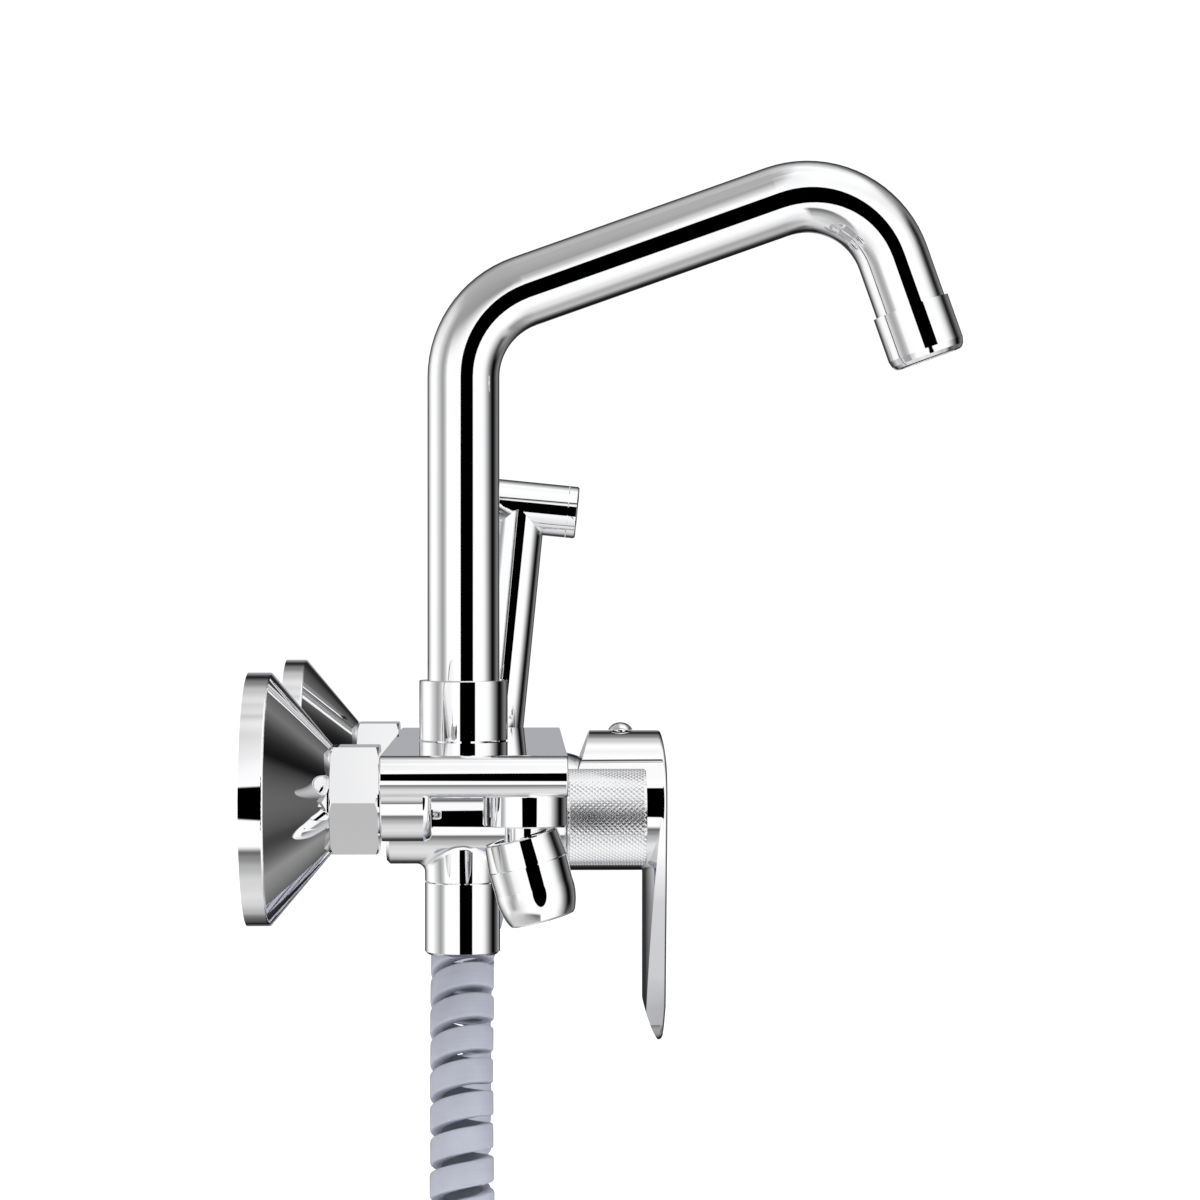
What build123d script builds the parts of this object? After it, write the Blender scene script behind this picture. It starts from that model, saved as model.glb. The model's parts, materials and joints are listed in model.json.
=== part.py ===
"""Wall-mounted pre-rinse mixer: two wall inlets, one lever, a swinging spout, a swivel outlet and a hand spray.

Millimetres, +Z up. The origin lies on the finished wall, midway between the two inlets. +X runs along the
wall to the user's right, and -Y points out of the wall. Distances out of the wall are written as positive
numbers named OUT, so a point stands at Y = -OUT.
"""
from build123d import *
import math
import os

# ---- driving dimensions ----
INLET_SPACING = 150.0
SIDE = INLET_SPACING / 2
RUN = 0.05                      # radial clearance of a part that turns in another
GAP = 0.3                       # between bodies that pass each other

INLET_THREAD_R = 10.48          # G1/2 socket of each wall union, for the supply pipe
INLET_SOCKET = 14.0
UNION_THREAD_R = 13.2           # G3/4 thread under the union nuts
FLANGE_R = 35.7
FLANGE_RIM = 6.5
FLANGE_TOP_R = 15.4
FLANGE_OUT = 23.5
FLANGE_WALL = 1.7
NUT_FLATS = 30.0
NUT_START = 23.6
NUT_END = 37.0
WATER_R = 7.0                   # water way through the unions

SLAB_HALF = 92.0
SLAB_REAR = 37.3
SLAB_FRONT = 89.9
SLAB_LOW = 1.0
SLAB_TOP = 12.8
EDGE = 0.5                      # rounding of the cast body's edges
BOSS_R = 12.0
BOSS_OUT = 51.7
BOSS_EDGE = 2.3
BOSS_FLARE = 4.6                # fillet between a boss and the slab's underside
WAY_R = 2.8                     # cast water ways in the body
WAY_Z = (SLAB_LOW + SLAB_TOP) / 2

VALVE_Z = -10.7                 # height of the diverter and lever axes
HOUSING_R = 14.2
HOUSING_OUT = 90.5
DIVERTER_BORE_R = 10.0
VALVE_BASE = 66.0               # inner end of both valve bores
KNOB_R = 14.7
KNOB_START = 90.9
KNOB_END = 115.0

SPOUT_OUT = 59.3
SOCKET_R = 8.56
SOCKET_LOW = 0.5
COLLAR_R = 13.5
COLLAR_TOP = 31.3
TUBE_R = 11.0
TUBE_WALL = 1.4
BEND_R = 28.0
SPOUT_KNEE = (SPOUT_OUT, 143.5)          # (out, height) where the riser and the arm would meet
SPOUT_ELBOW = (181.6, 187.1)
SPOUT_END = (202.1, 129.6)
AERATOR_R = 12.0
AERATOR_LENGTH = 17.0

OUTLET_OUT = 59.0
OUTLET_R = 11.5
OUTLET_SEAM = -30.2
HOSE_TOP = -52.3
HOSE_R = 9.5                    # outer radius of the relaxed spiral hose

LEVER_X = SIDE
PIVOT_OUT = 89.3                # tilt axis of the lever
CARTRIDGE_R = 12.3
NECK_R = 14.4
DOME_R = 16.0
DOME_MOUTH_R = 9.6
HUB_R = 23.1
HUB_BACK = 92.1
HUB_FRONT = 124.3
HUB_CUT = math.tan(math.radians(17.8))   # the back of the hub leans away above the axis
BLADE_LOW = -89.7
BLADE_THICK = 7.5
BLADE_TAPER = 11.0              # degrees, each side
BLADE_BACK_R = 50.0             # crown of the blade's back

SWIVEL_OUT = 78.0
SWIVEL_BOSS_LOW = -7.6
SWIVEL_STEM_R = 5.9
BALL_Z = -15.6
BALL_R = 9.2
SWIVEL_TILT = 15.0              # degrees, lower end towards the user
SWIVEL_LENGTH = 24.2
SWIVEL_SEAM = 7.7

SPRAY_X = 103.0
SPRAY_FOOT = (SPRAY_X, -69.1, 12.8)      # where the handle's axis passes the top of the slab
SPRAY_LEAN = 5.7                # degrees, top towards the user
SPRAY_R = 8.75
SPRAY_WALL = 1.7
SPRAY_LOW = -33.0               # ends of the handle and of its hose nut, along the handle from SPRAY_FOOT
SPRAY_END = -45.0
HEAD_R = 8.8
HEAD_UP = 74.2                  # along the handle, to the head's axis
HEAD_FRONT = 19.6
HEAD_BACK = 13.0
HEAD_SEAM = 3.2
HOLDER_LOW, HOLDER_TOP = -12.5, -2.0     # along the handle
HOLDER_SCREWS = (55.6, 81.8)    # out of the wall

HOSE_ROUTE = [
    (0, -59, HOSE_TOP), (0, -59, -71.5), (-7.5, -58.9, -97), (-20.2, -58.6, -125.8), (-20.2, -58.2, -160.2),
    (-3, -57.9, -190), (26.8, -57.6, -207.2), (61.2, -57.4, -207.2), (91, -57.3, -190), (108.2, -57.3, -160.2),
    (108.2, -57.6, -125.8), (106.5, -58.4, -97), (104, -60.1, -70), (SPRAY_X, -63.04, -47.9),
    (SPRAY_X, -64.63, -31.98),
]


def out_axis(x, z, start=0.0):
    """A plane whose X axis points straight out of the wall from (x, z)."""
    return Plane(origin=(x, -start, z), x_dir=(0, -1, 0), z_dir=(1, 0, 0))


def up_axis(x, out, z=0.0):
    """A plane whose X axis points up from (x, out)."""
    return Plane(origin=(x, -out, z), x_dir=(0, 0, 1), z_dir=(0, 1, 0))


def out_face(x, z, out):
    """A plane facing out of the wall, with its own X along +X and its own Y up."""
    return Plane(origin=(x, -out, z), x_dir=(1, 0, 0), z_dir=(0, -1, 0))


def turn(plane, outline, mode=Mode.ADD):
    """Revolves an outline of (along, radius) points about the plane's X axis into the open part."""
    with BuildSketch(plane) as profile:
        with BuildLine():
            Polyline(*outline, close=True)
        make_face()
    revolve(profile.sketch, axis=Axis(plane.origin, plane.x_dir), mode=mode)


def ring(plane, start, end, outer, inner=0.0, mode=Mode.ADD):
    """A plain ring or disc about the plane's X axis, between two stations along it."""
    turn(plane, [(start, inner), (start, outer), (end, outer), (end, inner)], mode)


def rod(start, end, radius, mode=Mode.ADD):
    """A round bar from one point to another, or a bore with Mode.SUBTRACT."""
    line = Vector(*end) - Vector(*start)
    with BuildSketch(Plane(origin=start, z_dir=line)) as section:
        Circle(radius)
    extrude(section.sketch, amount=line.length, mode=mode)


def way(*points):
    """A water way of connected bores through the points, cut from the open part."""
    for start, end in zip(points, points[1:]):
        rod(start, end, WAY_R, Mode.SUBTRACT)
    for corner in points[1:-1]:
        with Locations(corner):
            Sphere(WAY_R, mode=Mode.SUBTRACT)


def o_ring(plane, along, centre_r, section_r):
    """An O-ring about the plane's X axis."""
    with BuildSketch(plane) as section:
        with Locations((along, centre_r)):
            Circle(section_r)
    revolve(section.sketch, axis=Axis(plane.origin, plane.x_dir))


def write(piece, label):
    piece.part.label = label
    export_step(piece.part, f"parts/{label}.step")


os.makedirs("parts", exist_ok=True)

# ---- wall connection, once for each inlet ----
UNION_END = 31.0
WASHER_END = 33.0
TAIL_FLANGE_END = 34.6
for side, x in (("left", -SIDE), ("right", SIDE)):
    axis = out_axis(x, 0)

    with BuildPart() as wall_union:
        turn(axis, [(0, INLET_THREAD_R), (0, UNION_THREAD_R), (UNION_END, UNION_THREAD_R), (UNION_END, WATER_R),
                    (INLET_SOCKET, WATER_R), (INLET_SOCKET, INLET_THREAD_R)])
    write(wall_union, f"wall_union_{side}")

    with BuildPart() as wall_flange:
        turn(axis, [(0, FLANGE_R - FLANGE_WALL), (0, FLANGE_R), (FLANGE_RIM, FLANGE_R),
                    (FLANGE_OUT, FLANGE_TOP_R), (FLANGE_OUT, UNION_THREAD_R), (20.5, UNION_THREAD_R),
                    (20.5, 16.9), (5.6, FLANGE_R - FLANGE_WALL)])
        widest = wall_flange.edges().filter_by(GeomType.CIRCLE).group_by(SortBy.RADIUS)[-1]
        fillet(widest.group_by(Axis.Y)[0], 0.8)
    write(wall_flange, f"wall_flange_{side}")

    with BuildPart() as union_nut:
        with BuildSketch(out_face(x, 0, NUT_START)):
            RegularPolygon(NUT_FLATS / 2, 6, major_radius=False)
        extrude(amount=NUT_END - NUT_START)
        turn(axis, [(NUT_START, 0), (NUT_START, 16.0), (NUT_START + 0.8, 17.4), (NUT_END - 0.8, 17.4),
                    (NUT_END, 16.0), (NUT_END, 0)], Mode.INTERSECT)
        turn(axis, [(NUT_START, 0), (NUT_START, UNION_THREAD_R), (TAIL_FLANGE_END, UNION_THREAD_R),
                    (TAIL_FLANGE_END, 9.9), (NUT_END, 9.9), (NUT_END, 0)], Mode.SUBTRACT)
    write(union_nut, f"union_nut_{side}")

with BuildPart() as strainer_washers:
    for x in (-SIDE, SIDE):
        ring(out_axis(x, 0), UNION_END, WASHER_END, UNION_THREAD_R - 0.4, WATER_R)
write(strainer_washers, "strainer_washers")

with BuildPart() as inlet_tails:
    for x in (-SIDE, SIDE):
        turn(out_axis(x, 0), [(WASHER_END, WATER_R), (WASHER_END, 12.6), (TAIL_FLANGE_END, 12.6),
                              (TAIL_FLANGE_END, 9.8), (47.0, 9.8), (47.0, WATER_R)])
write(inlet_tails, "inlet_tails")

# ---- cast body ----
DIVERTER = out_axis(0, VALVE_Z)
LEVER = out_axis(LEVER_X, VALVE_Z)
SPOUT = up_axis(0, SPOUT_OUT)
OUTLET = up_axis(0, OUTLET_OUT)
SWIVEL = up_axis(-SIDE, SWIVEL_OUT)
RING_LOW, RING_HIGH, RING_R = 4.6, 6.2, 9.4      # groove of the spout's retaining ring
NECK_END = 93.0
NIPPLE_R, NIPPLE_TOP = 8.3, -22.0

with BuildPart() as body_casting:
    # slab with half-round ends, and the two inlet bosses, which flare into its underside
    with BuildSketch(out_face(0, WAY_Z, SLAB_REAR)) as slab_section:
        SlotOverall(2 * SLAB_HALF, SLAB_TOP - SLAB_LOW)
    with BuildSketch(out_face(0, WAY_Z, SLAB_REAR)) as boss_section:
        add(slab_section.sketch_local)
        with Locations((-SIDE, -WAY_Z), (SIDE, -WAY_Z)):
            Circle(BOSS_R)
        fillet(boss_section.vertices().filter_by(lambda v: v.Y < 0), BOSS_FLARE)
    extrude(slab_section.sketch, amount=SLAB_FRONT - SLAB_REAR)
    extrude(boss_section.sketch, amount=BOSS_OUT - BOSS_EDGE - SLAB_REAR)
    fillet(body_casting.edges().group_by(Axis.Y)[0] + body_casting.edges().group_by(Axis.Y)[-1], EDGE)
    for x in (-SIDE, SIDE):
        boss_end = out_axis(x, 0, BOSS_OUT - BOSS_EDGE)
        with BuildSketch(boss_end) as boss_profile:
            with BuildLine():
                Polyline((BOSS_EDGE, BOSS_R - BOSS_EDGE), (BOSS_EDGE, 0), (-1.0, 0), (-1.0, BOSS_R),
                         (0, BOSS_R))
                RadiusArc((0, BOSS_R), (BOSS_EDGE, BOSS_R - BOSS_EDGE), BOSS_EDGE)
            make_face()
        revolve(boss_profile.sketch, axis=Axis(boss_end.origin, boss_end.x_dir))
    turn(DIVERTER, [(36.0, 0), (36.0, HOUSING_R - 1), (37.0, HOUSING_R), (HOUSING_OUT - EDGE, HOUSING_R),
                    (HOUSING_OUT, HOUSING_R - EDGE), (HOUSING_OUT, 0)])
    turn(OUTLET, [(OUTLET_SEAM, 0), (OUTLET_SEAM, OUTLET_R - 0.3), (OUTLET_SEAM + 0.3, OUTLET_R),
                  (VALVE_Z, OUTLET_R), (VALVE_Z, 0)])
    outlet_seat = body_casting.edges().filter_by(
        lambda e: OUTLET_SEAM + 1 < e.bounding_box().min.Z and e.bounding_box().max.Z < VALVE_Z
        and abs(e.center().X) < OUTLET_R and abs(e.center().Y + OUTLET_OUT) < OUTLET_R + 1)
    fillet(outlet_seat, 2.5)
    ring(LEVER, 50.0, SLAB_FRONT, DOME_R)
    ring(LEVER, SLAB_FRONT, NECK_END, NECK_R)
    turn(SWIVEL, [(SWIVEL_BOSS_LOW, 0), (SWIVEL_BOSS_LOW, BOSS_R - 0.4), (SWIVEL_BOSS_LOW + 0.4, BOSS_R),
                  (WAY_Z, BOSS_R), (WAY_Z, 0)])
    # flat seat for the spray holder
    with BuildSketch(Plane(origin=(SLAB_HALF, 0, WAY_Z), x_dir=(0, -1, 0), z_dir=(1, 0, 0))) as seat:
        with Locations((sum(HOLDER_SCREWS) / 2, 1.8)):
            RectangleRounded(HOLDER_SCREWS[1] - HOLDER_SCREWS[0] + 7.0, 7.6, 2.5)
    extrude(seat.sketch, amount=-6.0)
    # bores
    for x in (-SIDE, SIDE):
        ring(out_axis(x, 0), SLAB_REAR, 47.3, 9.8, mode=Mode.SUBTRACT)
    ring(DIVERTER, VALVE_BASE, HOUSING_OUT, DIVERTER_BORE_R, mode=Mode.SUBTRACT)
    ring(LEVER, VALVE_BASE, NECK_END, CARTRIDGE_R + 0.2, mode=Mode.SUBTRACT)
    ring(SPOUT, SOCKET_LOW, SLAB_TOP, SOCKET_R, mode=Mode.SUBTRACT)
    ring(SPOUT, RING_LOW, RING_HIGH, RING_R, mode=Mode.SUBTRACT)
    ring(OUTLET, OUTLET_SEAM, NIPPLE_TOP, NIPPLE_R, mode=Mode.SUBTRACT)
    # hot water, from the left inlet to the lever cartridge
    way((-SIDE, -43, WAY_Z), (60, -43, WAY_Z), (60, -52, WAY_Z), (67, -52, WAY_Z), (67, -52, -8),
        (67, -VALVE_BASE - 0.1, -8))
    # cold water, from the right inlet
    way((82, -45, -5), (82, -VALVE_BASE - 0.1, -5))
    # mixed water, from the cartridge to the diverter
    way((74, -VALVE_BASE - 0.1, -17), (74, -60, -17), (74, -60, WAY_Z), (14, -60, WAY_Z), (14, -74, WAY_Z),
        (0, -74, WAY_Z), (0, -74, -3))
    # diverted water, to the spout, the hose outlet and the swivel outlet
    way((0, -VALVE_BASE - 0.1, -5.5), (0, -58, -5.5), (0, -58, SOCKET_LOW + 0.1))
    way((0, -VALVE_BASE - 0.1, -16), (0, -OUTLET_OUT, -16), (0, -OUTLET_OUT, NIPPLE_TOP - 0.1))
    way((-5, -80, -4), (-5, -80, WAY_Z), (-SIDE, -80, WAY_Z))
    way((-SIDE, -SWIVEL_OUT, WAY_Z), (-SIDE, -SWIVEL_OUT, SWIVEL_BOSS_LOW - 1))
    ring(SWIVEL, SWIVEL_BOSS_LOW, -4.0, 5.0, mode=Mode.SUBTRACT)
    for out in HOLDER_SCREWS:
        rod((SLAB_HALF + 1, -out, WAY_Z), (SLAB_HALF - 9, -out, WAY_Z), 1.7, Mode.SUBTRACT)
write(body_casting, "body_casting")

# ---- spout ----
with BuildPart() as spout_retaining_ring:
    ring(SPOUT, RING_LOW + 0.1, RING_HIGH - 0.1, RING_R - 0.05, 7.75)
write(spout_retaining_ring, "spout_retaining_ring")

TUBE_START = 14.6
TUBE_BORE_R = TUBE_R - TUBE_WALL
SPIGOT_R = SOCKET_R - RUN
with BuildPart() as spout_spigot:
    turn(SPOUT, [(0.8, 5.5), (0.8, SPIGOT_R), (1.7, SPIGOT_R), (1.7, 6.7), (3.7, 6.7), (3.7, SPIGOT_R),
                 (4.3, SPIGOT_R), (4.3, 7.65), (6.5, 7.65), (6.5, SPIGOT_R), (8.4, SPIGOT_R), (8.4, 6.7),
                 (10.4, 6.7), (10.4, SPIGOT_R), (TUBE_START, SPIGOT_R), (TUBE_START, TUBE_BORE_R),
                 (COLLAR_TOP, TUBE_BORE_R), (COLLAR_TOP, 5.5)])
write(spout_spigot, "spout_spigot")

with BuildPart() as spout_o_rings:
    for z in (2.7, 9.4):
        o_ring(SPOUT, z, 7.62, 0.88)
write(spout_o_rings, "spout_o_rings")

with BuildPart() as spout_collar:
    turn(SPOUT, [(SLAB_TOP + GAP, SPIGOT_R), (SLAB_TOP + GAP, COLLAR_R), (COLLAR_TOP, COLLAR_R),
                 (COLLAR_TOP, TUBE_R), (TUBE_START, TUBE_R), (TUBE_START, SPIGOT_R)])
    fillet(spout_collar.edges().filter_by(GeomType.CIRCLE).group_by(Axis.Z)[-1].sort_by(SortBy.RADIUS)[-1], 0.4)
write(spout_collar, "spout_collar")

leg = Vector(0, SPOUT_ELBOW[0] - SPOUT_END[0], SPOUT_END[1] - SPOUT_ELBOW[1]).normalized()
spout_tip = Vector(0, -SPOUT_END[0], SPOUT_END[1])
tube_end = spout_tip - leg * 6.0
with BuildPart() as spout_tube:
    with BuildLine() as tube_path:
        FilletPolyline((0, -SPOUT_OUT, TUBE_START), (0, -SPOUT_KNEE[0], SPOUT_KNEE[1]),
                       (0, -SPOUT_ELBOW[0], SPOUT_ELBOW[1]), tube_end, radius=BEND_R)
    with BuildSketch(Plane(origin=(0, -SPOUT_OUT, TUBE_START), z_dir=(0, 0, 1))):
        Circle(TUBE_R)
        Circle(TUBE_BORE_R, mode=Mode.SUBTRACT)
    sweep(path=tube_path.line)
write(spout_tube, "spout_tube")

TIP = Plane(origin=spout_tip, x_dir=leg, z_dir=(1, 0, 0))
with BuildPart() as aerator_shell:
    turn(TIP, [(-AERATOR_LENGTH, TUBE_R), (-AERATOR_LENGTH, AERATOR_R), (-3.2, AERATOR_R),
               (-1.3, AERATOR_R - 0.5), (-0.3, AERATOR_R - 1.3), (0, AERATOR_R - 2.0), (0, 9.2),
               (-5.9, 9.2), (-5.9, TUBE_R)])
write(aerator_shell, "aerator_shell")

with BuildPart() as aerator_insert:
    ring(TIP, -5.4, -0.8, 9.1)
    ring(TIP, -4.0, -0.8, 8.2, 7.2, Mode.SUBTRACT)
    with BuildSketch(Plane(origin=spout_tip - leg * 0.8, z_dir=leg)):
        with PolarLocations(5.4, 12):
            Circle(0.8)
        with PolarLocations(2.7, 6):
            Circle(0.8)
        Circle(0.8)
    extrude(amount=-4.0, mode=Mode.SUBTRACT)
write(aerator_insert, "aerator_insert")

with BuildPart() as aerator_gasket:
    ring(TIP, -5.9, -5.4, 9.15, 6.5)
write(aerator_gasket, "aerator_gasket")

# ---- diverter ----
DISC_SEAT, DISC_TOP = VALVE_BASE + 3.0, VALVE_BASE + 6.0
with BuildPart() as diverter_seat_disc:
    ring(DIVERTER, VALVE_BASE, DISC_SEAT, DIVERTER_BORE_R - 0.1)
    for z in (-5.5, -16.0):
        rod((0, -VALVE_BASE + 1, z), (0, -DISC_SEAT - 1, z), WAY_R - 0.3, Mode.SUBTRACT)
write(diverter_seat_disc, "diverter_seat_disc")

with BuildPart() as diverter_spindle:
    turn(DIVERTER, [(DISC_SEAT + 0.05, 0), (DISC_SEAT + 0.05, 8.6), (DISC_TOP, 8.6), (DISC_TOP, 4.0),
                    (107.0, 4.0), (107.0, 3.0), (111.0, 3.0), (111.0, 0)])
    rod((0, -DISC_SEAT + 1, -5.5), (0, -DISC_TOP - 1, -5.5), WAY_R - 0.3, Mode.SUBTRACT)
    rod((0, -99.0, VALVE_Z), (0, -112.0, VALVE_Z), 1.6, Mode.SUBTRACT)
write(diverter_spindle, "diverter_spindle")

with BuildPart() as diverter_gland_nut:
    turn(DIVERTER, [(83.0, 4.0 + RUN), (83.0, DIVERTER_BORE_R - 0.05),
                    (HOUSING_OUT - 0.3, DIVERTER_BORE_R - 0.05), (HOUSING_OUT - 0.3, 6.0), (87.0, 6.0),
                    (87.0, 4.0 + RUN)])
    for z in (VALVE_Z - 8.0, VALVE_Z + 8.0):
        rod((0, -88.0, z), (0, -91.0, z), 1.0, Mode.SUBTRACT)
write(diverter_gland_nut, "diverter_gland_nut")

with BuildPart() as diverter_stem_seal:
    ring(DIVERTER, 87.0, 89.0, 5.9, 4.0 + RUN)
write(diverter_stem_seal, "diverter_stem_seal")

with BuildPart() as diverter_knob:
    turn(DIVERTER, [(KNOB_START, 12.4), (KNOB_START, KNOB_R), (KNOB_END, KNOB_R), (KNOB_END, 4.4),
                    (112.2, 4.4), (112.2, 3.0), (107.0, 3.0), (107.0, 4.0), (94.0, 4.0), (94.0, 7.0),
                    (109.0, 7.0), (109.0, 12.4)])
write(diverter_knob, "diverter_knob")

with BuildPart() as knob_screw:
    turn(DIVERTER, [(100.0, 0), (100.0, 1.55), (112.2, 1.55), (112.2, 3.3), (114.2, 3.3), (114.2, 1.6),
                    (112.9, 1.6), (112.9, 0)])
write(knob_screw, "knob_screw")

with BuildPart() as knob_cap:
    turn(DIVERTER, [(114.4, 0), (114.4, 4.35), (KNOB_END, 4.35), (KNOB_END + 0.2, 3.6), (KNOB_END + 0.35, 0)])
write(knob_cap, "knob_cap")

# ---- lever cartridge ----
DISC_LOW, DISC_MID, DISC_HIGH = 76.0, 79.0, 82.0
GUIDE_R = 8.0
with BuildPart() as mixer_cartridge:
    turn(LEVER, [(VALVE_BASE + 0.6, 0), (VALVE_BASE + 0.6, CARTRIDGE_R), (88.0, CARTRIDGE_R), (88.0, 9.6),
                 (92.0, 9.6), (92.0, GUIDE_R), (DISC_LOW, GUIDE_R), (DISC_LOW, 0)])
    for x, z in ((67, -8), (82, -5), (74, -17)):
        rod((x, -VALVE_BASE, z), (x, -DISC_LOW - 1, z), WAY_R - 0.3, Mode.SUBTRACT)
write(mixer_cartridge, "mixer_cartridge")

with BuildPart() as cartridge_seals:
    for x, z in ((67, -8), (82, -5), (74, -17)):
        ring(out_axis(x, z), VALVE_BASE, VALVE_BASE + 0.6, WAY_R + 0.7, WAY_R - 0.3)
write(cartridge_seals, "cartridge_seals")

with BuildPart() as ceramic_disc_fixed:
    ring(LEVER, DISC_LOW, DISC_MID - 0.05, GUIDE_R - RUN)
    for x, z in ((70, -8.5), (80, -8.5), (75, -15)):
        rod((x, -DISC_LOW + 1, z), (x, -DISC_MID - 1, z), 1.9, Mode.SUBTRACT)
write(ceramic_disc_fixed, "ceramic_disc_fixed")

with BuildPart() as ceramic_disc_moving:
    ring(LEVER, DISC_MID, DISC_HIGH, GUIDE_R - 0.6)
    ring(LEVER, DISC_MID, DISC_MID + 1.6, 3.6, mode=Mode.SUBTRACT)
write(ceramic_disc_moving, "ceramic_disc_moving")

with BuildPart() as stem_guide:
    ring(LEVER, DISC_HIGH, 91.8, GUIDE_R - RUN, 5.9)
    rod((LEVER_X - 9, -PIVOT_OUT, VALVE_Z), (LEVER_X + 9, -PIVOT_OUT, VALVE_Z), 1.0, Mode.SUBTRACT)
write(stem_guide, "stem_guide")

with BuildPart() as stem_pin:
    rod((LEVER_X - 7.8, -PIVOT_OUT, VALVE_Z), (LEVER_X + 7.8, -PIVOT_OUT, VALVE_Z), 1.0)
write(stem_pin, "stem_pin")

STEM_R, STEM_END = 3.5, 113.0
with BuildPart() as lever_stem:
    with Locations((LEVER_X, -PIVOT_OUT, VALVE_Z)):
        Sphere(5.2)
    turn(LEVER, [(84.4, 0), (84.4, 1.6), (85.0, 2.2), (PIVOT_OUT, 2.2), (PIVOT_OUT, STEM_R),
                 (STEM_END, STEM_R), (STEM_END, 0)])
    rod((LEVER_X - 6, -PIVOT_OUT, VALVE_Z), (LEVER_X + 6, -PIVOT_OUT, VALVE_Z), 1.0 + RUN, Mode.SUBTRACT)
write(lever_stem, "lever_stem")

with BuildPart() as cartridge_nut:
    ring(LEVER, 88.2, NECK_END, CARTRIDGE_R + 0.15, 9.8)
    for x in (LEVER_X - 11, LEVER_X + 11):
        with Locations((x, -NECK_END, VALVE_Z)):
            Box(3.0, 3.0, 2.4, mode=Mode.SUBTRACT)
write(cartridge_nut, "cartridge_nut")


def sphere_at(out, radius):
    """Radius, at a distance out, of a ball of the given radius about the lever's pivot."""
    return math.sqrt(radius ** 2 - (out - PIVOT_OUT) ** 2)


DOME_START, DOME_WALL = SLAB_FRONT + 0.3, 1.5
dome_mouth = PIVOT_OUT + math.sqrt(DOME_R ** 2 - DOME_MOUTH_R ** 2)
inner_r = DOME_R - DOME_WALL
inner_mouth = dome_mouth - 1.2
inner_start = NECK_END + 0.3
with BuildPart() as cartridge_dome:
    with BuildSketch(LEVER):
        with BuildLine():
            Line((DOME_START, NECK_R), (DOME_START, sphere_at(DOME_START, DOME_R)))
            middle = (DOME_START + dome_mouth) / 2
            ThreePointArc((DOME_START, sphere_at(DOME_START, DOME_R)), (middle, sphere_at(middle, DOME_R)),
                          (dome_mouth, DOME_MOUTH_R))
            Line((dome_mouth, DOME_MOUTH_R), (inner_mouth, sphere_at(inner_mouth, inner_r)))
            middle = (inner_start + inner_mouth) / 2
            ThreePointArc((inner_mouth, sphere_at(inner_mouth, inner_r)), (middle, sphere_at(middle, inner_r)),
                          (inner_start, sphere_at(inner_start, inner_r)))
            Polyline((inner_start, sphere_at(inner_start, inner_r)), (inner_start, NECK_R),
                     (DOME_START, NECK_R))
        make_face()
    revolve(axis=Axis(LEVER.origin, LEVER.x_dir))
write(cartridge_dome, "cartridge_dome")

# ---- lever ----
HUB_CAVITY_R = DOME_R + 0.5
HUB_TOP = VALVE_Z + HUB_R
PLUG_OUT = 109.7
taper = math.radians(BLADE_TAPER)
tangent = (HUB_R * math.cos(taper), -HUB_R * math.sin(taper))
TIP_R = 6.0
tip_centre = BLADE_LOW - VALVE_Z + TIP_R
tip_side = (HUB_R + tip_centre * math.sin(taper)) / math.cos(taper)
SIDE_VIEW = Plane(origin=(LEVER_X, 0, VALVE_Z), x_dir=(0, -1, 0), z_dir=(-1, 0, 0))

with BuildPart() as lever_handle:
    # hub, with its back leaning away above the axis and a slightly domed front
    with BuildSketch(SIDE_VIEW):
        with BuildLine():
            Polyline((HUB_FRONT, 8.0), (HUB_FRONT, -HUB_R), (HUB_BACK, -HUB_R), (HUB_BACK, 0),
                     (HUB_BACK + HUB_CUT * HUB_R, HUB_R), (HUB_FRONT - 1.5, HUB_R))
            ThreePointArc((HUB_FRONT - 1.5, HUB_R), (HUB_FRONT - 0.4, 16.0), (HUB_FRONT, 8.0))
        make_face()
    extrude(amount=HUB_R + 1, both=True)
    ring(LEVER, HUB_BACK - 1, HUB_FRONT + 1, HUB_R, mode=Mode.INTERSECT)

with BuildPart() as lever_blade:
    # seen from the front: straight sides that leave the hub on its tangents, and a rounded tip
    with BuildSketch(out_face(LEVER_X, VALVE_Z, HUB_FRONT)):
        with BuildLine():
            Polyline((-tip_side, tip_centre), (-tangent[0], tangent[1]), (tangent[0], tangent[1]),
                     (tip_side, tip_centre))
            ThreePointArc((tip_side, tip_centre), (0, BLADE_LOW - VALVE_Z), (-tip_side, tip_centre))
        make_face()
    extrude(amount=-12.0)
    # seen from the side: the back slopes to a thin tip
    with BuildSketch(SIDE_VIEW):
        with BuildLine():
            rear = HUB_FRONT - BLADE_THICK
            low = BLADE_LOW - VALVE_Z
            Polyline((HUB_FRONT - 0.9, low), (HUB_FRONT, low + 12.0), (HUB_FRONT, 0), (rear, 0),
                     (rear, low + 14.5))
            ThreePointArc((rear, low + 14.5), (rear + 2.0, low + 7.0), (HUB_FRONT - 2.3, low))
            Line((HUB_FRONT - 2.3, low), (HUB_FRONT - 0.9, low))
        make_face()
    extrude(amount=HUB_R + 1, both=True, mode=Mode.INTERSECT)
    # crowned back
    with BuildSketch(Plane.XY.offset(BLADE_LOW - 1)):
        with Locations((LEVER_X, -(HUB_FRONT - BLADE_THICK + BLADE_BACK_R))):
            Circle(BLADE_BACK_R)
    extrude(amount=-BLADE_LOW + 1, mode=Mode.INTERSECT)

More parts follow.
